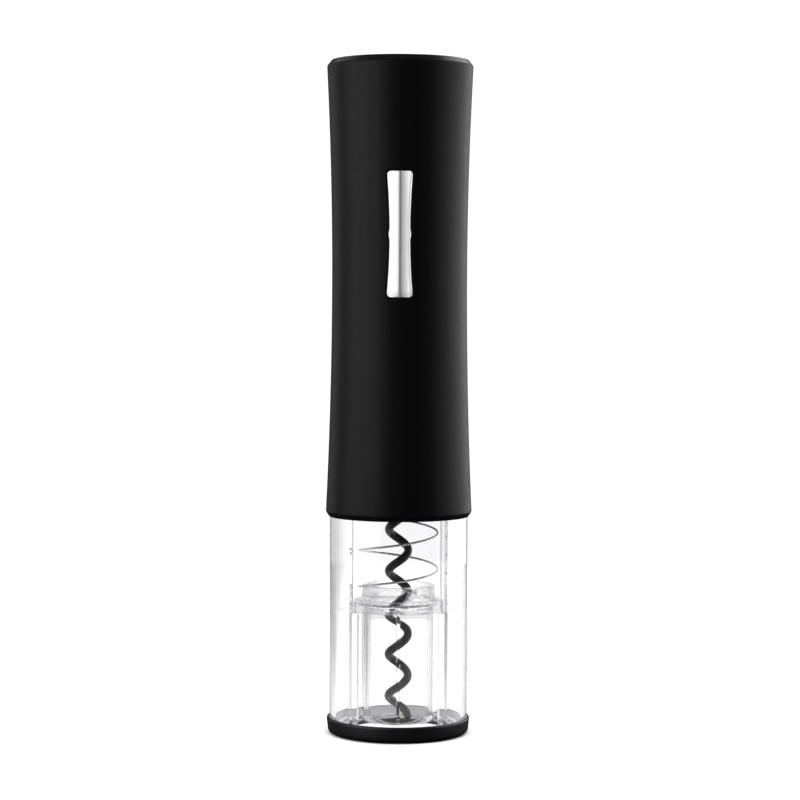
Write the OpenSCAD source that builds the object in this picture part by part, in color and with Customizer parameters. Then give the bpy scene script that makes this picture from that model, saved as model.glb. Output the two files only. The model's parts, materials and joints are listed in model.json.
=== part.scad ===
// Electric wine opener, standing upright on its foot ring.
// A waisted body holds four AA cells, a motor and a two-stage planetary gearbox that turns the worm.
// A clear shell plugs into the body and carries a spring-loaded guide that centres the bottle and cork.
// Millimetres, +Z up, origin at the centre of the foot, the rocker faces -Y.

/* [Body] */
// Overall height, foot to top of the battery cover
total_h = 240.5; // [239.5:0.5:242]
// Height of the body's bottom edge
body_z = 78; // [77:0.5:79]
// Height of the waist
waist_z = 163; // [158:1:168]
// Body radius at the waist
waist_r = 24.14; // [24:0.02:24.3]
// Body radius at the battery cover's seam
top_r = 26.08; // [26:0.02:26.2]
// Body radius just above its bottom edge
bottom_r = 26.16; // [26.1:0.02:26.3]
// Wall of the body
wall = 1.8; // [1.6:0.1:1.8]

/* [Clear shell and foot] */
// Outer radius of the clear shell
shell_r = 24.7; // [24.6:0.05:24.75]
// Wall of the clear shell
shell_wall = 2; // [1.8:0.1:2]
// Outer radius of the foot ring
foot_r = 25.7; // [25.6:0.05:25.8]
// Height of the foot ring
foot_h = 5.9; // [5.8:0.1:6.2]
// Radius of the foot ring's opening
foot_bore_r = 20; // [19.8:0.1:20.2]
// Radius of the bottle opening in the clear shell's floor
bottle_r = 16.5; // [16:0.1:17]

/* [Worm] */
// Rise of the worm for each turn
worm_pitch = 15; // [14.9:0.05:15.2]
// Radius of the worm's wire
worm_wire_r = 1.5; // [1.4:0.05:1.5]
// Radius of the worm's centre line
worm_helix_r = 3.45; // [3.3:0.05:3.5]
// Height of the worm's tip
worm_tip_z = 5.6; // [5.4:0.1:6]

/* [Cork guide and its spring] */
// Inner radius of the guide's tube
guide_bore_r = 11.1; // [11:0.1:11.3]
// Outer radius of the guide's tube
guide_tube_r = 12.4; // [12.3:0.05:12.5]
// Height of the guide's lower end
guide_z = 4.6; // [4.4:0.1:5]
// Height of the guide's upper end
guide_top_z = 53.4; // [53:0.1:54]
// Radius of the spring's wire
spring_wire_r = 0.4; // [0.35:0.05:0.4]
// Radius of the spring's centre line
spring_r = 14.05; // [14:0.05:14.1]
// Rise of the spring's open coils for each turn
spring_pitch = 13; // [12:0.5:14]

/* [Rocker] */
// Height of the rocker's centre
rocker_z = 178.2; // [177:0.2:179]
// Length of the rocker
rocker_len = 44.2; // [43:0.2:45]
// Width of the rocker at its ends
rocker_end_w = 9; // [8.6:0.1:9.2]
// Width of the rocker in the middle
rocker_mid_w = 7.2; // [7:0.1:7.4]
// How far the rocker stands proud of the body
rocker_proud = 1.4; // [1.3:0.1:1.5]

/* [Gears] */
// Gear module
gear_module = 0.55; // [0.55:0.01:0.56]
// Pressure angle
pressure_angle = 25; // [24:0.5:25]
// Clearance given to each tooth flank
flank_gap = 0.03; // [0.03:0.01:0.04]

/* [Hidden] */
$fn = 96;

black = [0.06, 0.06, 0.065];
graphite = [0.16, 0.16, 0.17];
clear = [0.86, 0.92, 0.95, 0.35];
satin_silver = [0.78, 0.78, 0.8];
steel = [0.62, 0.63, 0.65];
brass = [0.8, 0.62, 0.3];
copper = [0.72, 0.4, 0.22];
nylon = [0.9, 0.89, 0.84];
magnet_grey = [0.22, 0.22, 0.24];

eps = 0.02;         // gap between pieces that are fixed to each other
cut = 1;            // how far a cutter runs past the face it cuts

// Battery cover and body
cover_bevel = 1.45;
cover_round = 0.3;
cover_h = 2.1;
seam_z = total_h - cover_h;
body_bevel_h = 1.7;
body_bevel_in = 1.1;
body_step = 6;
shell_top_z = 88;
ledge_z = shell_top_z + 0.05;
ledge_h = 2;
ledge_r = 17.5;
socket_r = shell_r + 0.15;

// Stack of the drive, from the nose up
nose_z = ledge_z + ledge_h + 0.05;
nose_h = 2.3;
front_plate_z = nose_z + nose_h + 0.05;
front_plate_h = 3;
gear_case_z = front_plate_z + front_plate_h + 0.05;
gear_case_h = 23.4;
gear_case_r = 18;
motor_plate_z = gear_case_z + gear_case_h + 0.05;
motor_plate_h = 2.5;
motor_z = motor_plate_z + motor_plate_h + 0.05;
motor_len = 38;
motor_r = 13.85;
motor_wall = 0.6;
shaft_r = 1;
output_shaft_r = 3;

// Gear train, the same in both stages
sun_teeth = 9;
planet_teeth = 24;
ring_teeth = sun_teeth + 2 * planet_teeth;
planet_count = 3;
addendum = 0.8 * gear_module;
dedendum = 1.05 * gear_module;
flank_steps = 4;
orbit_r = gear_module * (sun_teeth + planet_teeth) / 2;
carrier_r = 13;
carrier_h = 2.8;
pin_r = 1.5;
pin_bore_r = 1.55;
gear_face = 7;
output_carrier_z = gear_case_z + 0.4;
output_planet_z = output_carrier_z + carrier_h + 0.3;
first_carrier_z = output_planet_z + gear_face + 0.5;
first_planet_z = first_carrier_z + carrier_h + 0.3;

// Inner frame, two halves round the gearbox and motor
frame_in_r = 18.1;
frame_out_r = 21.4;
frame_z = gear_case_z;
frame_top_z = 180;
window_z = 150;
window_half = 7.6;
frame_screw_y = 19.3;
frame_screws_at = [[1, 101], [1, 172], [-1, 101], [-1, 141]];

// Cells and their holder
cell_r = 7.1;
cell_h = 49;
nub_r = 2.7;
nub_h = 1.2;
cell_z = 185.2;
cell_pitch = 7.55;
cells_y = 0.8;
cell_sites = [[-1, -1, 1], [-1, 1, -1], [1, 1, 1], [1, -1, -1]];
holder_z = 180.4;
holder_floor = 2;
holder_top_z = 236;
holder_r = 19.8;
well_r = 7.4;
well_wall = 0.9;
contact_t = 0.4;
holder_screw_x = 19.3;

// Rocker, its board and its bracket
rocker_corner = 1.5;
rocker_gap = 0.35;
rocker_back_y = -22.4;
facet_r = 20.2;
facet_x = 5.9;
pivot_y = -19.4;
pivot_r = 0.9;
pivot_bore_r = 1;
ear_in = 3.5;
ear_out = 5.6;
switch_span = 15;
switch_y = -20.4;
board_front_y = -16.9;
board_t = 1.2;
board_half = 6.8;
board_z = 160;
board_h = 38;
post_x = 5.2;
post_low = 170;
post_high = 188.5;

// Clear shell, guide and spring
shell_z = 2.2;
flange_top_z = 3.7;
shell_in_r = shell_r - shell_wall;
guide_disc_z = 45;
guide_disc_h = 1.4;
guide_disc_r = 22.2;
retainer_z = 83;
retainer_h = 2.5;
retainer_bore_r = 9.5;
rib_angles = [45, 135, 225, 315];
low_rib_r = 20.2;
high_rib_r = 21.9;
rib_top_z = 80;
spring_low_z = guide_disc_z + guide_disc_h + spring_wire_r + 0.03;
spring_high_z = retainer_z - spring_wire_r - 0.03;
spring_low_turn = -0.938;
spring_high_turn = spring_low_turn + (spring_high_z - spring_low_z) / spring_pitch;
spring_end_turns = 0.91;
spring_blend = 0.08;

// Worm
worm_phase_z = 13.15;
worm_blend_z = 75.5;
hub_z = 84;
hub_r = 6;
hub_top_z = nose_z + 1.8;
hub_split_z = 88.2;

// ---------------------------------------------------------------- shared shapes

// Outer radius of the body at a height, two shallow bows that meet at the waist
function body_r(z) = z > waist_z
    ? waist_r + (top_r - waist_r) * pow((z - waist_z) / (seam_z - waist_z), 2)
    : waist_r + (bottom_r - waist_r) * pow((waist_z - z) / (waist_z - body_z - body_bevel_h), 2);

function unit(v) = v / norm(v);

function tangent(path, i) = unit(path[min(i + 1, len(path) - 1)] - path[max(i - 1, 0)]);

// Smooth step from 0 to 1
function ease(x) = let (t = max(0, min(1, x))) t * t * (3 - 2 * t);

// Points of a quarter arc about a centre
function arc(centre, r, from, to, steps) = [
    for (i = [0 : steps]) let (a = from + (to - from) * i / steps) centre + r * [cos(a), sin(a)]
];

module at_angles(count, r, start = 0) {
    for (i = [0 : count - 1]) rotate([0, 0, start + 360 * i / count]) translate([r, 0, 0]) children();
}

module ring(r_out, r_in, h) {
    difference() {
        cylinder(r = r_out, h = h);
        translate([0, 0, -cut]) cylinder(r = r_in, h = h + 2 * cut);
    }
}

// Round tube along a path, with its own radius and side direction at each point
module sweep(path, radii, sides_dir, sides) {
    points = [
        for (i = [0 : len(path) - 1])
            let (t = tangent(path, i), u = unit(cross(t, sides_dir[i])), v = cross(t, u))
            for (k = [0 : sides - 1])
                path[i] + radii[i] * (cos(360 * k / sides) * u + sin(360 * k / sides) * v)
    ];
    last = (len(path) - 1) * sides;
    walls = [
        for (i = [0 : len(path) - 2], k = [0 : sides - 1])
            let (
                a = i * sides + k,
                b = i * sides + (k + 1) % sides,
                c = b + sides,
                d = a + sides
            )
            each [[a, d, c], [a, c, b]]
    ];
    start_cap = [for (k = [0 : sides - 1]) k];
    end_cap = [for (k = [sides - 1 : -1 : 0]) last + k];
    polyhedron(points = points, faces = concat([start_cap, end_cap], walls));
}

// Insulated wire along a few chosen points, smoothed by averaging each corner
function smoothed(p) = [
    for (i = [0 : len(p) - 1])
        (i == 0 || i == len(p) - 1) ? p[i] : (p[i - 1] + 2 * p[i] + p[i + 1]) / 4
];

function halved(p) = [
    for (i = [0 : 2 * (len(p) - 1)]) i % 2 == 0 ? p[i / 2] : (p[(i - 1) / 2] + p[(i + 1) / 2]) / 2
];

module wire(points) {
    path = smoothed(halved(smoothed(halved(points))));
    sweep(path, [for (p = path) 0.7], [for (p = path) [0.31, 0.12, 0.2]], 8);
}

// Screw that points up +Z, its head's underside at the origin
module screw(shank_r, shank_h, head_r, head_h) {
    difference() {
        union() {
            cylinder(r = shank_r, h = shank_h);
            translate([0, 0, -head_h]) cylinder(r = head_r, h = head_h);
        }
        for (turn = [0, 90]) rotate([0, 0, turn])
            translate([-head_r * 0.6, -0.2, -head_h - cut])
                cube([head_r * 1.2, 0.4, cut + head_h * 0.5]);
    }
}

// ---------------------------------------------------------------- gears

function involute(a) = tan(a) * 180 / PI - a;

function pitch_r(teeth) = gear_module * teeth / 2;

// Half angle of a tooth at radius r, with its flanks moved by play
function half_tooth(teeth, r, play) =
    90 / teeth + play / pitch_r(teeth) * 180 / PI + involute(pressure_angle)
    - involute(acos(min(1, pitch_r(teeth) * cos(pressure_angle) / r)));

function gear_points(teeth, r_root, r_tip, play) = [
    for (i = [0 : teeth - 1], side = [-1, 1], k = [0 : flank_steps])
        let (
            f = side < 0 ? k / flank_steps : 1 - k / flank_steps,
            r = r_root + (r_tip - r_root) * f,
            a = i * 360 / teeth + side * half_tooth(teeth, r, play)
        )
        r * [cos(a), sin(a)]
];

module gear(teeth, h) {
    linear_extrude(height = h)
        polygon(gear_points(teeth, pitch_r(teeth) - dedendum, pitch_r(teeth) + addendum, -flank_gap));
}

module planet(orbit, z) {
    turn = orbit * (1 + sun_teeth / planet_teeth) + 180 + 180 / planet_teeth;
    color(nylon) translate([orbit_r * cos(orbit), orbit_r * sin(orbit), z]) rotate([0, 0, turn])
        difference() {
            gear(planet_teeth, gear_face);
            translate([0, 0, -cut]) cylinder(r = pin_bore_r, h = gear_face + 2 * cut);
        }
}

module carrier_pins(z) {
    at_angles(planet_count, orbit_r) translate([0, 0, z])
        cylinder(r = pin_r, h = carrier_h + gear_face + 0.4);
}

module carrier_plate(z) {
    difference() {
        translate([0, 0, z]) cylinder(r = carrier_r, h = carrier_h);
        at_angles(planet_count, orbit_r) translate([0, 0, z - cut])
            cylinder(r = pin_r + eps, h = carrier_h + 2 * cut);
    }
}

// ---------------------------------------------------------------- clear shell, foot, guide

module clear_shell() {
    top_rib_z = guide_disc_z - 0.05;
    color(clear) difference() {
        union() {
            translate([0, 0, shell_z]) ring(shell_r, shell_in_r, shell_top_z - shell_z);
            translate([0, 0, shell_z]) ring(shell_r, bottle_r, flange_top_z - shell_z);
            for (a = rib_angles) rotate([0, 0, a]) {
                translate([low_rib_r, -1, flange_top_z - eps])
                    cube([shell_in_r + 0.3 - low_rib_r, 2, top_rib_z - flange_top_z + eps]);
                translate([high_rib_r, -0.6, top_rib_z - eps])
                    cube([shell_in_r + 0.3 - high_rib_r, 1.2, rib_top_z - top_rib_z]);
            }
        }
        // slots in the top edge for the retainer's four tabs
        for (a = rib_angles) rotate([0, 0, a])
            translate([shell_in_r - 0.8, -3, retainer_z - 0.05]) cube([1.6, 6, shell_top_z]);
    }
}

module base_ring() {
    bevel = 0.5;
    draft = 0.35;
    round_low = 2.1;
    round_high = 0.8;
    foot_profile = concat(
        [[foot_bore_r + bevel, 0]],
        arc([foot_r - draft - round_low, round_low], round_low, -90, 0, 6),
        arc([foot_r - round_high, foot_h - round_high], round_high, 0, 90, 3),
        [
            [shell_r + 0.05, foot_h],
            [shell_r + 0.05, shell_z - 0.03],
            [foot_bore_r, shell_z - 0.03],
            [foot_bore_r, bevel]
        ]
    );
    color(black) rotate_extrude() polygon(foot_profile);
}

module spring_retainer() {
    color(graphite) difference() {
        union() {
            translate([0, 0, retainer_z]) ring(shell_in_r - 0.1, retainer_bore_r, retainer_h);
            intersection() {
                translate([0, 0, retainer_z]) ring(shell_in_r + 0.7, retainer_bore_r, retainer_h);
                for (a = rib_angles) rotate([0, 0, a])
                    translate([18, -2.8, retainer_z]) cube([8, 5.6, retainer_h]);
            }
        }
        // six vent holes
        at_angles(6, 18, 15) translate([0, 0, retainer_z - cut]) cylinder(r = 2, h = retainer_h + 2 * cut);
    }
}

function soft_ramp(x) = spring_blend * ln(1 + exp(x / spring_blend));

function spring_height(u) =
    spring_low_z + spring_pitch * (soft_ramp(u - spring_low_turn) - soft_ramp(u - spring_high_turn));

module guide_spring() {
    start = spring_low_turn - spring_end_turns;
    turns = spring_high_turn + spring_end_turns - start;
    rings = ceil(turns * 24);
    us = [for (i = [0 : rings]) start + turns * i / rings];
    path = [for (u = us) [spring_r * cos(360 * u), spring_r * sin(360 * u), spring_height(u)]];
    color(steel) sweep(
        path,
        [for (u = us) spring_wire_r],
        [for (u = us) [cos(360 * u), sin(360 * u), 0]],
        8
    );
}

module cork_guide() {
    mouth_flare = 0.5;
    collar_r = guide_tube_r + 0.7;
    disc_top = guide_disc_z + guide_disc_h;
    color(clear) {
        difference() {
            union() {
                rotate_extrude() polygon([
                    [guide_bore_r + mouth_flare, guide_z],
                    [guide_tube_r + mouth_flare, guide_z],
                    [guide_tube_r, guide_z + 2.5],
                    [guide_tube_r, guide_disc_z],
                    [guide_disc_r, guide_disc_z],
                    [guide_disc_r, disc_top],
                    [15.3, disc_top],
                    [15.3, disc_top + 2.1],
                    [14.6, disc_top + 2.1],
                    [14.6, disc_top],
                    [collar_r, disc_top],
                    [collar_r, guide_top_z - 0.6],
                    [collar_r - 0.6, guide_top_z],
                    [guide_bore_r, guide_top_z],
                    [guide_bore_r, guide_z + 2.5]
                ]);
                // two outer fins stiffen the tube
                for (side = [0, 180]) rotate([0, 0, side])
                    translate([guide_tube_r - 0.3, -0.6, guide_z + 3])
                        cube([2.5, 1.2, guide_disc_z - guide_z - 2.5]);
            }
            for (a = rib_angles) rotate([0, 0, a])
                translate([high_rib_r - 0.3, -0.9, guide_disc_z - cut])
                    cube([2, 1.8, guide_disc_h + 2 * cut]);
        }
        // two inner ribs grip the cork and stop it turning
        for (side = [90, 270]) rotate([0, 0, side]) rotate([90, 0, 0]) translate([0, 0, -0.6])
            linear_extrude(height = 1.2) polygon([
                [guide_bore_r + 0.3, guide_z + 1.8],
                [10.2, guide_z + 1.8],
                [8.9, guide_z + 5],
                [8.9, 34],
                [10.4, 45],
                [guide_bore_r + 0.3, 46]
            ]);
    }
}

// ---------------------------------------------------------------- body

// Outline of the rocker, seen from the front, two concave sides with rounded corners
module rocker_outline(grow) {
    half_l = rocker_len / 2 + grow;
    corner = rocker_corner + grow;
    end_half = rocker_end_w / 2 + grow;
    waist = (rocker_end_w - rocker_mid_w) / 2;
    bump = 0.35;
    right = [
        for (i = [-12 : 12])
            let (z = i / 12 * (half_l - corner), f = z / (half_l - corner))
            [end_half - waist * (1 - f * f) + bump * exp(-pow(z / 1.3, 2)), z]
    ];
    upper = arc([end_half - corner, half_l - corner], corner, 15, 90, 4);
    polygon(concat(
        right,
        upper,
        [for (i = [len(upper) - 1 : -1 : 0]) [-upper[i].x, upper[i].y]],
        [for (i = [len(right) - 1 : -1 : 0]) [-right[i].x, right[i].y]],
        [for (p = upper) [-p.x, -p.y]],
        [for (i = [len(upper) - 1 : -1 : 0]) [upper[i].x, -upper[i].y]]
    ));
}

module rocker_prism(grow, y_from, y_to) {
    translate([0, y_to, rocker_z]) rotate([90, 0, 0])
        linear_extrude(height = y_to - y_from) rocker_outline(grow);
}

// One bowed flank of the rocker: a turned shape about an axis beside the ridge that both flanks share
module rocker_facet(side) {
    axis_y = -waist_r - rocker_proud + sqrt(facet_r * facet_r - facet_x * facet_x);
    half_l = rocker_len / 2 + 1;
    steps = 12;
    translate([side * facet_x, axis_y, 0]) rotate_extrude() polygon(concat(
        [[0, rocker_z - half_l]],
        [
            for (i = [0 : steps])
                let (z = rocker_z + half_l * (2 * i / steps - 1))
                [norm([facet_x, body_r(z) + rocker_proud + axis_y]), z]
        ],
        [[0, rocker_z + half_l]]
    ));
}

module body_shell() {
    zs = [for (z = [body_z + body_bevel_h : body_step : seam_z - body_step / 2]) z];
    profile = concat(
        [[socket_r, body_z], [bottom_r - body_bevel_in, body_z]],
        [for (z = zs) [body_r(z), z]],
        [[body_r(seam_z), seam_z], [body_r(seam_z) - wall, seam_z]],
        [for (i = [len(zs) - 1 : -1 : 2]) [body_r(zs[i]) - wall, zs[i]]],
        [
            [body_r(ledge_z) - wall, ledge_z + ledge_h],
            [ledge_r, ledge_z + ledge_h],
            [ledge_r, ledge_z],
            [socket_r, ledge_z]
        ]
    );
    color(black) difference() {
        rotate_extrude() polygon(profile);
        rocker_prism(rocker_gap, -waist_r - 8, -waist_r + 6);
        at_angles(3, 19.5, 90) translate([0, 0, ledge_z - cut]) cylinder(r = 1.5, h = ledge_h + 2 * cut);
    }
}

module nose_plate() {
    color(graphite) difference() {
        translate([0, 0, nose_z]) ring(body_r(nose_z) - wall - 0.15, 9, nose_h);
        at_angles(3, 19.5, 90) translate([0, 0, nose_z - cut]) cylinder(r = 1.5, h = nose_h + 2 * cut);
    }
}

module nose_screws() {
    color(steel) at_angles(3, 19.5, 90) translate([0, 0, ledge_z - eps])
        screw(1.25, front_plate_z + front_plate_h - ledge_z - 0.2, 1.9, 1.5);
}

// ---------------------------------------------------------------- gearbox

module gearbox_front_plate() {
    color(graphite) difference() {
        translate([0, 0, front_plate_z]) ring(22.2, 5 + eps, front_plate_h);
        at_angles(3, 19.5, 90) translate([0, 0, front_plate_z - cut])
            cylinder(r = 1.25 + 0.03, h = front_plate_h + 2 * cut);
    }
}

module output_bush() {
    color(brass) translate([0, 0, front_plate_z]) ring(5, output_shaft_r + 0.05, front_plate_h);
}

module ring_gear() {
    teeth_r = [pitch_r(ring_teeth) - addendum, pitch_r(ring_teeth) + dedendum];
    color(graphite) translate([0, 0, gear_case_z]) difference() {
        union() {
            cylinder(r = gear_case_r, h = gear_case_h);
            // two keys locate the ring in the frame halves
            for (side = [-1, 1]) translate([side * (gear_case_r + 0.4) - 1, -1.5, 2]) cube([2, 3, 12]);
        }
        translate([0, 0, -cut]) rotate([0, 0, 180 / ring_teeth])
            linear_extrude(height = gear_case_h + 2 * cut)
            polygon(gear_points(ring_teeth, teeth_r[0], teeth_r[1], flank_gap));
    }
}

module gearbox_motor_plate() {
    color(steel) difference() {
        translate([0, 0, motor_plate_z]) ring(gear_case_r, 4 + 0.05, motor_plate_h);
        for (side = [-1, 1]) translate([side * 8, 0, motor_plate_z - cut]) {
            cylinder(r = 1.4, h = motor_plate_h + 2 * cut);
            cylinder(r = 2.4, h = cut + 1.5);
        }
    }
}

module motor_screws() {
    color(steel) for (side = [-1, 1])
        translate([side * 8, 0, motor_plate_z + 1.5 - eps]) screw(1.2, 4, 2.2, 1.3);
}

module output_carrier() {
    color(steel) difference() {
        union() {
            carrier_plate(output_carrier_z);
            translate([0, 0, hub_split_z + 0.1])
                cylinder(r = output_shaft_r, h = output_carrier_z - hub_split_z);
        }
        translate([-cut - hub_r, 0, 90]) rotate([0, 90, 0]) cylinder(r = 0.78, h = 2 * (hub_r + cut));
    }
}

module output_carrier_pins() {
    color(steel) carrier_pins(output_carrier_z);
}

module first_carrier() {
    color(steel) union() {
        carrier_plate(first_carrier_z);
        translate([0, 0, output_planet_z + 0.1]) gear(sun_teeth, first_carrier_z - output_planet_z);
    }
}

module first_carrier_pins() {
    color(steel) carrier_pins(first_carrier_z);
}

// ---------------------------------------------------------------- worm drive

function worm_angle(z) = 180 + 360 * (z - worm_phase_z) / worm_pitch;

function worm_taper(z) = 0.55 + 0.45 * pow(max(0, min(1, (z - worm_tip_z) / 1.2)), 0.75);

module worm() {
    rings = 122;
    zs = [for (i = [0 : rings]) worm_tip_z + (hub_z - 0.3 - worm_tip_z) * i / rings];
    helix = [
        for (z = zs)
            let (r = worm_helix_r * (1 - ease((z - worm_blend_z) / (hub_z - 0.5 - worm_blend_z))))
            [r * cos(worm_angle(z)), r * sin(worm_angle(z)), z]
    ];
    side = [for (z = zs) [cos(worm_angle(z)), sin(worm_angle(z)), 0]];
    last_side = side[rings];
    color(black) sweep(
        concat(helix, [[0, 0, hub_split_z - 0.1]]),
        concat([for (z = zs) worm_wire_r * worm_taper(z)], [worm_wire_r]),
        concat(side, [last_side]),
        12
    );
}

module worm_hub() {
    color(steel) difference() {
        rotate_extrude() polygon([
            [worm_wire_r + 0.03, hub_z],
            [hub_r - 1.5, hub_z],
            [hub_r, hub_z + 2.5],
            [hub_r, hub_top_z],
            [output_shaft_r + 0.03, hub_top_z],
            [output_shaft_r + 0.03, hub_split_z],
            [worm_wire_r + 0.03, hub_split_z]
        ]);
        translate([-cut - hub_r, 0, 90]) rotate([0, 90, 0]) cylinder(r = 0.78, h = 2 * (hub_r + cut));
    }
}

module hub_pin() {
    color(steel) translate([-hub_r + 0.1, 0, 90]) rotate([0, 90, 0])
        cylinder(r = 0.75, h = 2 * hub_r - 0.2);
}

// ---------------------------------------------------------------- motor

module motor_can() {
    color(steel) difference() {
        union() {
            translate([0, 0, motor_z]) cylinder(r = motor_r, h = motor_len);
            translate([0, 0, motor_z - 1.5]) cylinder(r = 4, h = 2);
        }
        translate([0, 0, motor_z + 1]) cylinder(r = motor_r - motor_wall, h = motor_len);
        translate([0, 0, motor_z - 3]) cylinder(r = 3 + eps, h = 6);
        for (side = [-1, 1]) translate([side * 8, 0, motor_z - cut]) cylinder(r = 1.23, h = 3);
    }
}

module motor_magnets() {
    color(magnet_grey) difference() {
        translate([0, 0, motor_z + 5]) ring(motor_r - motor_wall - 0.05, 11.7, 26);
        for (side = [-1, 1]) translate([-3, side * 13 - 4, motor_z]) cube([6, 8, 40]);
    }
}

module motor_front_bush() {
    color(brass) translate([0, 0, motor_z - 1.5]) ring(3, shaft_r + 0.05, 4);
}

module motor_end_cap() {
    top = motor_z + motor_len;
    color(black) difference() {
        union() {
            translate([0, 0, top - 3]) cylinder(r = motor_r - motor_wall - 0.05, h = 3);
            translate([0, 0, top + eps]) cylinder(r = motor_r - 0.3, h = 2.4);
            translate([0, 0, top - 1]) cylinder(r = motor_r - 1, h = 2);
        }
        translate([0, 0, top - 4]) cylinder(r = 2.5 + eps, h = 8);
        for (side = [-1, 1]) translate([side * 9 - 1.6, -0.3, top - 4]) cube([3.2, 0.6, 8]);
    }
}

module motor_rear_bush() {
    color(brass) translate([0, 0, motor_z + motor_len - 2]) ring(2.5, shaft_r + 0.05, 3.5);
}

module motor_brushes() {
    color(copper) for (side = [-1, 1])
        translate([side * 5 - 1.9, -1.2, motor_z + motor_len - 6.5]) cube([3.8, 2.4, 2.4]);
}

module motor_terminals() {
    top = motor_z + motor_len;
    color(brass) for (side = [-1, 1]) translate([side * 9 - 1.5, -0.25, top - 6.4]) {
        cube([3, 0.5, 13]);
    }
}

module motor_shaft() {
    color(steel) translate([0, 0, first_planet_z + 0.2])
        cylinder(r = shaft_r, h = motor_z + motor_len + 3 - first_planet_z);
}

module motor_pinion() {
    color(brass) translate([0, 0, first_planet_z + 0.3]) difference() {
        gear(sun_teeth, gear_face - 0.4);
        translate([0, 0, -cut]) cylinder(r = shaft_r + eps, h = gear_face + 2 * cut);
    }
}

module rotor_core() {
    slots = 5;
    color(steel) difference() {
        translate([0, 0, motor_z + 7]) ring(11.2, shaft_r + eps, 20);
        at_angles(slots, 0, 36) translate([8.6, -0.9, motor_z]) cube([5, 1.8, 40]);
        at_angles(slots, 6.7, 36) translate([0, 0, motor_z]) cylinder(r = 2.6, h = 40);
    }
}

module rotor_windings() {
    slots = 5;
    color(copper) difference() {
        union() {
            at_angles(slots, 6.7, 36) translate([0, 0, motor_z + 5]) cylinder(r = 2.5, h = 24);
            for (z = [motor_z + 4.6, motor_z + 27.05]) translate([0, 0, z]) ring(9.6, 3.4, 2.4);
        }
        translate([0, 0, motor_z]) cylinder(r = 2, h = 40);
    }
}

module commutator() {
    segments = 5;
    color(copper) translate([0, 0, motor_z + motor_len - 7.5]) difference() {
        ring(3, shaft_r + eps, 4.4);
        at_angles(segments, 0) translate([2.2, -0.15, -cut]) cube([2, 0.3, 6.4]);
    }
}

// ---------------------------------------------------------------- inner frame

module frame_half(side) {
    color(graphite) difference() {
        translate([0, 0, frame_z]) ring(frame_out_r, frame_in_r, frame_top_z - frame_z);
        // keep one half only
        translate([side > 0 ? -40 + 0.03 : -0.03, -30, frame_z - cut]) cube([40, 60, 120]);
        // window for the board and its switches
        translate([-window_half, -30, window_z]) cube([2 * window_half, 30, 60]);
        // keyways of the ring gear
        translate([side * 19 - 1.5, -1.6, frame_z - cut]) cube([3, 3.2, 20]);
        for (s = frame_screws_at) translate([0, s[0] * frame_screw_y, s[1]]) rotate([0, 90, 0]) {
            translate([0, 0, side > 0 ? -cut : -5.8]) cylinder(r = side > 0 ? 0.9 : 0.83, h = 5.8);
            if (side > 0) translate([0, 0, 4]) cylinder(r = 1.65, h = 8);
        }
        translate([side * holder_screw_x, 0, 168]) cylinder(r = 0.83, h = 20);
        // lightening windows
        for (z = [104, 128]) translate([side > 0 ? 12 : -28, -5, z + 20]) cube([16, 10, 16]);
    }
}

module frame_left() {
    frame_half(-1);
}

module frame_right() {
    frame_half(1);
}

module frame_screws() {
    color(steel) for (s = frame_screws_at)
        translate([4 + eps, s[0] * frame_screw_y, s[1]]) rotate([0, -90, 0]) screw(0.8, 9.4, 1.5, 1.2);
}

// ---------------------------------------------------------------- cells and contacts

module cell(index) {
    site = cell_sites[index];
    up = site[2] > 0;
    translate([site[0] * cell_pitch, cells_y + site[1] * cell_pitch, cell_z]) {
        color("darkorange") translate([0, 0, up ? 0 : nub_h]) cylinder(r = cell_r, h = cell_h);
        color(steel) translate([0, 0, up ? cell_h - 0.5 : 0]) cylinder(r = nub_r, h = nub_h + 0.5);
    }
}

module battery_1() {
    cell(0);
}

module battery_2() {
    cell(1);
}

module battery_3() {
    cell(2);
}

module battery_4() {
    cell(3);
}

module battery_holder() {
    color(graphite) difference() {
        union() {
            translate([0, 0, holder_z]) cylinder(r = holder_r, h = holder_floor);
            for (side = [-1, 1]) translate([side * holder_screw_x - 2, -2.5, holder_z])
                cube([4, 5, holder_floor]);
            for (s = cell_sites)
                translate([s[0] * cell_pitch, cells_y + s[1] * cell_pitch, holder_z])
                    cylinder(r = well_r + well_wall, h = holder_top_z - holder_z);
            translate([0, 0, holder_top_z - 2]) cylinder(r = holder_r, h = 2);
        }
        for (s = cell_sites)
            translate([s[0] * cell_pitch, cells_y + s[1] * cell_pitch, holder_z + holder_floor])
                cylinder(r = well_r, h = holder_top_z);
        // notch for the rear strap
        translate([-2, cells_y + cell_pitch - 1.6, holder_z + holder_floor]) cube([4, 3.2, 0.6]);
        // flat at the front clears the board
        translate([-30, -45, holder_z - cut]) cube([60, 30, 70]);
        for (side = [-1, 1]) {
            translate([side * holder_screw_x, 0, holder_z - cut])
                cylinder(r = 0.9, h = holder_floor + 2 * cut);
            // slots for the terminal tabs
            translate([side * 11 - 1.3, -8, holder_z - cut]) cube([2.6, 0.7, holder_floor + 2 * cut]);
        }
    }
}

module holder_screws() {
    color(steel) for (side = [-1, 1])
        translate([side * holder_screw_x, 0, holder_z + holder_floor + eps]) rotate([180, 0, 0])
            screw(0.8, 10, 1.5, 1.2);
}

// Conical contact spring that stands on a plate and narrows away from it
module contact_spring(h) {
    turns = 2.5;
    rings = 36;
    rise = h - 0.6;
    us = [for (i = [0 : rings]) i / rings];
    path = [
        for (u = us)
            let (r = 4.6 - 2 * u)
            [r * cos(360 * turns * u), r * sin(360 * turns * u), 0.3 + rise * u]
    ];
    sweep(path, [for (u = us) 0.25], [for (u = us) [0, 0, 1]], 8);
}

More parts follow.
